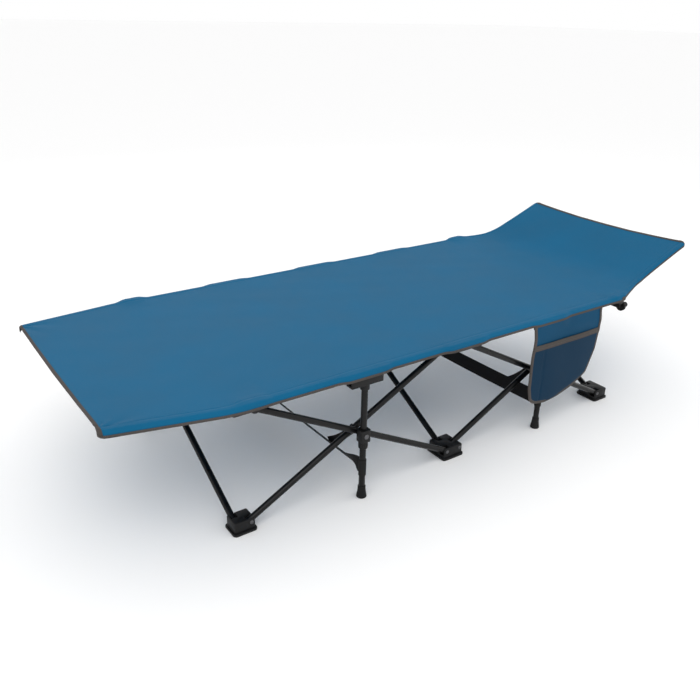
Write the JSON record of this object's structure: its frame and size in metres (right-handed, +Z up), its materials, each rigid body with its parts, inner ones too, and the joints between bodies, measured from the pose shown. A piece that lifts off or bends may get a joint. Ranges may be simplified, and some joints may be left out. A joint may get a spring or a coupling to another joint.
{
  "type": "folding camp cot",
  "caption": "Folding camp cot: a fabric bed with a raised head section and a side pocket on a collapsing steel scissor frame.",
  "frame": {"origin": "on the ground under the middle of the whole cot", "axes": "+X to the head end, +Y away from the pocket, +Z up"},
  "size_m": [1.9, 0.7472, 0.453],
  "materials": {
    "frame_steel": "glossy black powder coat",
    "black_plastic": "moulded, satin",
    "leg_rubber": "matte",
    "bed_fabric": "plain woven polyester",
    "pocket_fabric": "plain woven polyester",
    "black_webbing": "woven webbing"
  },
  "bodies": {
    "ground_foot_a1": {"ground_foot_a1": "black_plastic"},
    "rising_arm_a1": {"rising_arm_a1": "frame_steel"},
    "slider_a1": {"slider_a1": "black_plastic"},
    "falling_arm_a1": {"falling_arm_a1": "frame_steel"},
    "hub_a2": {"hub_a2": "black_plastic"},
    "ground_foot_a2": {"ground_foot_a2": "black_plastic"},
    "leg_a1": {"leg_a1": "frame_steel", "leg_bracket_a1": "black_plastic", "rubber_foot_a1": "leg_rubber", "cross_strap_1": "black_webbing"},
    "falling_arm_a0": {"falling_arm_a0": "frame_steel"},
    "slider_a0": {"slider_a0": "black_plastic"},
    "rising_arm_a0": {"rising_arm_a0": "frame_steel"},
    "hub_a0": {"hub_a0": "black_plastic"},
    "ground_foot_a0": {"ground_foot_a0": "black_plastic"},
    "leg_a0": {"leg_a0": "frame_steel", "leg_bracket_a0": "black_plastic", "rubber_foot_a0": "leg_rubber", "cross_strap_0": "black_webbing"},
    "hub_a1": {"hub_a1": "black_plastic", "bed_sheet": "bed_fabric"},
    "cross_arm_a1": {"cross_arm_a1": "frame_steel", "cross_pivot_1": "black_plastic"},
    "hub_b1": {"hub_b1": "black_plastic"},
    "cross_arm_b1": {"cross_arm_b1": "frame_steel"},
    "ground_foot_b1": {"ground_foot_b1": "black_plastic"},
    "rising_arm_b1": {"rising_arm_b1": "frame_steel"},
    "slider_b1": {"slider_b1": "black_plastic"},
    "falling_arm_b1": {"falling_arm_b1": "frame_steel"},
    "hub_b2": {"hub_b2": "black_plastic"},
    "ground_foot_b2": {"ground_foot_b2": "black_plastic"},
    "leg_b1": {"leg_b1": "frame_steel", "leg_bracket_b1": "black_plastic", "rubber_foot_b1": "leg_rubber"},
    "falling_arm_b0": {"falling_arm_b0": "frame_steel"},
    "slider_b0": {"slider_b0": "black_plastic"},
    "rising_arm_b0": {"rising_arm_b0": "frame_steel"},
    "hub_b0": {"hub_b0": "black_plastic"},
    "ground_foot_b0": {"ground_foot_b0": "black_plastic"},
    "leg_b0": {"leg_b0": "frame_steel", "leg_bracket_b0": "black_plastic", "rubber_foot_b0": "leg_rubber"},
    "cross_arm_a0": {"cross_arm_a0": "frame_steel", "cross_pivot_0": "black_plastic"},
    "cross_arm_b0": {"cross_arm_b0": "frame_steel"},
    "cross_arm_a2": {"cross_arm_a2": "frame_steel", "cross_pivot_2": "black_plastic"},
    "cross_arm_b2": {"cross_arm_b2": "frame_steel"},
    "side_rail_a0": {"side_rail_a0": "frame_steel"},
    "side_rail_a1": {"side_rail_a1": "frame_steel"},
    "side_rail_a2": {"side_rail_a2": "frame_steel"},
    "side_rail_a3": {"side_rail_a3": "frame_steel", "side_pocket": "pocket_fabric"},
    "side_rail_b0": {"side_rail_b0": "frame_steel"},
    "side_rail_b1": {"side_rail_b1": "frame_steel"},
    "side_rail_b2": {"side_rail_b2": "frame_steel"},
    "side_rail_b3": {"side_rail_b3": "frame_steel"},
    "head_tube_a": {"head_tube_a": "frame_steel", "head_sheet": "bed_fabric"},
    "head_tube_b": {"head_tube_b": "frame_steel"}
  },
  "joints": [
    {"name": "fold", "type": "hinge", "parent": "ground_foot_a1", "child": "rising_arm_a1", "pos_m": [-0.01, -0.316, 0.024], "axis": [0, -1, 0], "range_deg": [0, 56], "deforming": ["bed_sheet", "head_sheet", "side_pocket", "cross_strap_0", "cross_strap_1"]},
    {"name": "slider_a1_turn", "type": "hinge", "parent": "rising_arm_a1", "child": "slider_a1", "pos_m": [0.282, -0.356, 0.1775], "axis": [0, 1, 0], "range_deg": [0, 56]},
    {"name": "falling_arm_a1_turn", "type": "hinge", "parent": "slider_a1", "child": "falling_arm_a1", "pos_m": [0.282, -0.336, 0.1775], "axis": [0, 1, 0], "range_deg": [0, 56]},
    {"name": "hub_a2_turn", "type": "hinge", "parent": "rising_arm_a1", "child": "hub_a2", "pos_m": [0.574, -0.316, 0.331], "axis": [0, 1, 0], "range_deg": [0, 56]},
    {"name": "ground_foot_a2_turn", "type": "hinge", "parent": "falling_arm_a1", "child": "ground_foot_a2", "pos_m": [0.574, -0.336, 0.024], "axis": [0, -1, 0], "range_deg": [0, 56]},
    {"name": "leg_a1_slide", "type": "slide", "parent": "slider_a1", "child": "leg_a1", "axis": [0, 0, -1], "range_m": [0, 0.08757]},
    {"name": "falling_arm_a0_turn", "type": "hinge", "parent": "ground_foot_a1", "child": "falling_arm_a0", "pos_m": [-0.054, -0.336, 0.024], "axis": [0, 1, 0], "range_deg": [0, 56]},
    {"name": "slider_a0_turn", "type": "hinge", "parent": "falling_arm_a0", "child": "slider_a0", "pos_m": [-0.346, -0.356, 0.1775], "axis": [0, -1, 0], "range_deg": [0, 56]},
    {"name": "rising_arm_a0_turn", "type": "hinge", "parent": "slider_a0", "child": "rising_arm_a0", "pos_m": [-0.346, -0.316, 0.1775], "axis": [0, -1, 0], "range_deg": [0, 56]},
    {"name": "hub_a0_turn", "type": "hinge", "parent": "falling_arm_a0", "child": "hub_a0", "pos_m": [-0.638, -0.336, 0.331], "axis": [0, -1, 0], "range_deg": [0, 56]},
    {"name": "ground_foot_a0_turn", "type": "hinge", "parent": "rising_arm_a0", "child": "ground_foot_a0", "pos_m": [-0.638, -0.316, 0.024], "axis": [0, 1, 0], "range_deg": [0, 56]},
    {"name": "leg_a0_slide", "type": "slide", "parent": "slider_a0", "child": "leg_a0", "axis": [0, 0, -1], "range_m": [0, 0.08757]},
    {"name": "hub_a1_turn", "type": "hinge", "parent": "falling_arm_a1", "child": "hub_a1", "pos_m": [-0.01, -0.336, 0.331], "axis": [0, -1, 0], "range_deg": [0, 56]},
    {"name": "cross_arm_a1_turn", "type": "hinge", "parent": "ground_foot_a1", "child": "cross_arm_a1", "pos_m": [-0.041, -0.292, 0.024], "axis": [1, 0, 0], "range_deg": [0, 56]},
    {"name": "hub_b1_turn", "type": "hinge", "parent": "cross_arm_a1", "child": "hub_b1", "pos_m": [-0.041, 0.292, 0.331], "axis": [-1, 0, 0], "range_deg": [0, 56]},
    {"name": "cross_arm_b1_turn", "type": "hinge", "parent": "hub_a1", "child": "cross_arm_b1", "pos_m": [-0.023, -0.292, 0.331], "axis": [-1, 0, 0], "range_deg": [0, 56]},
    {"name": "ground_foot_b1_turn", "type": "hinge", "parent": "cross_arm_b1", "child": "ground_foot_b1", "pos_m": [-0.023, 0.292, 0.024], "axis": [1, 0, 0], "range_deg": [0, 56]},
    {"name": "rising_arm_b1_turn", "type": "hinge", "parent": "ground_foot_b1", "child": "rising_arm_b1", "pos_m": [-0.01, 0.316, 0.024], "axis": [0, -1, 0], "range_deg": [0, 56]},
    {"name": "slider_b1_turn", "type": "hinge", "parent": "rising_arm_b1", "child": "slider_b1", "pos_m": [0.282, 0.356, 0.1775], "axis": [0, 1, 0], "range_deg": [0, 56]},
    {"name": "falling_arm_b1_turn", "type": "hinge", "parent": "slider_b1", "child": "falling_arm_b1", "pos_m": [0.282, 0.336, 0.1775], "axis": [0, 1, 0], "range_deg": [0, 56]},
    {"name": "hub_b2_turn", "type": "hinge", "parent": "rising_arm_b1", "child": "hub_b2", "pos_m": [0.574, 0.316, 0.331], "axis": [0, 1, 0], "range_deg": [0, 56]},
    {"name": "ground_foot_b2_turn", "type": "hinge", "parent": "falling_arm_b1", "child": "ground_foot_b2", "pos_m": [0.574, 0.336, 0.024], "axis": [0, -1, 0], "range_deg": [0, 56]},
    {"name": "leg_b1_slide", "type": "slide", "parent": "slider_b1", "child": "leg_b1", "axis": [0, 0, -1], "range_m": [0, 0.08757]},
    {"name": "falling_arm_b0_turn", "type": "hinge", "parent": "ground_foot_b1", "child": "falling_arm_b0", "pos_m": [-0.054, 0.336, 0.024], "axis": [0, 1, 0], "range_deg": [0, 56]},
    {"name": "slider_b0_turn", "type": "hinge", "parent": "falling_arm_b0", "child": "slider_b0", "pos_m": [-0.346, 0.356, 0.1775], "axis": [0, -1, 0], "range_deg": [0, 56]},
    {"name": "rising_arm_b0_turn", "type": "hinge", "parent": "slider_b0", "child": "rising_arm_b0", "pos_m": [-0.346, 0.316, 0.1775], "axis": [0, -1, 0], "range_deg": [0, 56]},
    {"name": "hub_b0_turn", "type": "hinge", "parent": "falling_arm_b0", "child": "hub_b0", "pos_m": [-0.638, 0.336, 0.331], "axis": [0, -1, 0], "range_deg": [0, 56]},
    {"name": "ground_foot_b0_turn", "type": "hinge", "parent": "rising_arm_b0", "child": "ground_foot_b0", "pos_m": [-0.638, 0.316, 0.024], "axis": [0, 1, 0], "range_deg": [0, 56]},
    {"name": "leg_b0_slide", "type": "slide", "parent": "slider_b0", "child": "leg_b0", "axis": [0, 0, -1], "range_m": [0, 0.08757]},
    {"name": "cross_arm_a0_turn", "type": "hinge", "parent": "ground_foot_a0", "child": "cross_arm_a0", "pos_m": [-0.669, -0.292, 0.024], "axis": [1, 0, 0], "range_deg": [0, 56]},
    {"name": "cross_arm_b0_turn", "type": "hinge", "parent": "ground_foot_b0", "child": "cross_arm_b0", "pos_m": [-0.651, 0.292, 0.024], "axis": [-1, 0, 0], "range_deg": [0, 56]},
    {"name": "cross_arm_a2_turn", "type": "hinge", "parent": "ground_foot_a2", "child": "cross_arm_a2", "pos_m": [0.587, -0.292, 0.024], "axis": [1, 0, 0], "range_deg": [0, 56]},
    {"name": "cross_arm_b2_turn", "type": "hinge", "parent": "ground_foot_b2", "child": "cross_arm_b2", "pos_m": [0.605, 0.292, 0.024], "axis": [-1, 0, 0], "range_deg": [0, 56]},
    {"name": "side_rail_a0_turn", "type": "hinge", "parent": "hub_a0", "child": "side_rail_a0", "pos_m": [-0.638, -0.356, 0.342], "axis": [0, 1, 0], "range_deg": [0, 88.69]},
    {"name": "side_rail_a1_turn", "type": "hinge", "parent": "hub_a1", "child": "side_rail_a1", "pos_m": [-0.054, -0.356, 0.342], "axis": [0, -1, 0], "range_deg": [0, 88.69]},
    {"name": "side_rail_a2_turn", "type": "hinge", "parent": "hub_a1", "child": "side_rail_a2", "pos_m": [-0.01, -0.356, 0.342], "axis": [0, 1, 0], "range_deg": [0, 88.69]},
    {"name": "side_rail_a3_turn", "type": "hinge", "parent": "hub_a2", "child": "side_rail_a3", "pos_m": [0.582, -0.356, 0.342], "axis": [0, -1, 0], "range_deg": [0, 86.51]},
    {"name": "side_rail_b0_turn", "type": "hinge", "parent": "hub_b0", "child": "side_rail_b0", "pos_m": [-0.638, 0.356, 0.342], "axis": [0, 1, 0], "range_deg": [0, 88.69]},
    {"name": "side_rail_b1_turn", "type": "hinge", "parent": "hub_b1", "child": "side_rail_b1", "pos_m": [-0.054, 0.356, 0.342], "axis": [0, -1, 0], "range_deg": [0, 88.69]},
    {"name": "side_rail_b2_turn", "type": "hinge", "parent": "hub_b1", "child": "side_rail_b2", "pos_m": [-0.01, 0.356, 0.342], "axis": [0, 1, 0], "range_deg": [0, 88.69]},
    {"name": "side_rail_b3_turn", "type": "hinge", "parent": "hub_b2", "child": "side_rail_b3", "pos_m": [0.582, 0.356, 0.342], "axis": [0, -1, 0], "range_deg": [0, 86.51]},
    {"name": "headrest", "type": "hinge", "parent": "side_rail_a3", "child": "head_tube_a", "pos_m": [0.582, -0.356, 0.342], "axis": [0, 1, 0], "range_deg": [0, 10]},
    {"name": "headrest_far", "type": "hinge", "parent": "side_rail_b3", "child": "head_tube_b", "pos_m": [0.582, 0.356, 0.342], "axis": [0, 1, 0], "range_deg": [0, 10]}
  ],
  "couplings": [
    {"joint": "slider_a1_turn", "follows": "fold", "ratio": 1},
    {"joint": "falling_arm_a1_turn", "follows": "fold", "ratio": 1},
    {"joint": "hub_a2_turn", "follows": "fold", "ratio": 1},
    {"joint": "ground_foot_a2_turn", "follows": "fold", "ratio": 1},
    {"joint": "leg_a1_slide", "follows": "fold", "m_per_rad": 0.089541},
    {"joint": "falling_arm_a0_turn", "follows": "fold", "ratio": 1},
    {"joint": "slider_a0_turn", "follows": "fold", "ratio": 1},
    {"joint": "rising_arm_a0_turn", "follows": "fold", "ratio": 1},
    {"joint": "hub_a0_turn", "follows": "fold", "ratio": 1},
    {"joint": "ground_foot_a0_turn", "follows": "fold", "ratio": 1},
    {"joint": "leg_a0_slide", "follows": "fold", "m_per_rad": 0.089541},
    {"joint": "hub_a1_turn", "follows": "fold", "ratio": 1},
    {"joint": "cross_arm_a1_turn", "follows": "fold", "ratio": 1},
    {"joint": "hub_b1_turn", "follows": "fold", "ratio": 1},
    {"joint": "cross_arm_b1_turn", "follows": "fold", "ratio": 1},
    {"joint": "ground_foot_b1_turn", "follows": "fold", "ratio": 1},
    {"joint": "rising_arm_b1_turn", "follows": "fold", "ratio": 1},
    {"joint": "slider_b1_turn", "follows": "fold", "ratio": 1},
    {"joint": "falling_arm_b1_turn", "follows": "fold", "ratio": 1},
    {"joint": "hub_b2_turn", "follows": "fold", "ratio": 1},
    {"joint": "ground_foot_b2_turn", "follows": "fold", "ratio": 1},
    {"joint": "leg_b1_slide", "follows": "fold", "m_per_rad": 0.089541},
    {"joint": "falling_arm_b0_turn", "follows": "fold", "ratio": 1},
    {"joint": "slider_b0_turn", "follows": "fold", "ratio": 1},
    {"joint": "rising_arm_b0_turn", "follows": "fold", "ratio": 1},
    {"joint": "hub_b0_turn", "follows": "fold", "ratio": 1},
    {"joint": "ground_foot_b0_turn", "follows": "fold", "ratio": 1},
    {"joint": "leg_b0_slide", "follows": "fold", "m_per_rad": 0.089541},
    {"joint": "cross_arm_a0_turn", "follows": "fold", "ratio": 1},
    {"joint": "cross_arm_b0_turn", "follows": "fold", "ratio": 1},
    {"joint": "cross_arm_a2_turn", "follows": "fold", "ratio": 1},
    {"joint": "cross_arm_b2_turn", "follows": "fold", "ratio": 1},
    {"joint": "side_rail_a0_turn", "follows": "fold", "ratio": 1.5836},
    {"joint": "side_rail_a1_turn", "follows": "fold", "ratio": 1.5836},
    {"joint": "side_rail_a2_turn", "follows": "fold", "ratio": 1.5836},
    {"joint": "side_rail_a3_turn", "follows": "fold", "ratio": 1.5446},
    {"joint": "side_rail_b0_turn", "follows": "fold", "ratio": 1.5836},
    {"joint": "side_rail_b1_turn", "follows": "fold", "ratio": 1.5836},
    {"joint": "side_rail_b2_turn", "follows": "fold", "ratio": 1.5836},
    {"joint": "side_rail_b3_turn", "follows": "fold", "ratio": 1.5446},
    {"joint": "headrest_far", "follows": "headrest", "ratio": 1}
  ]
}
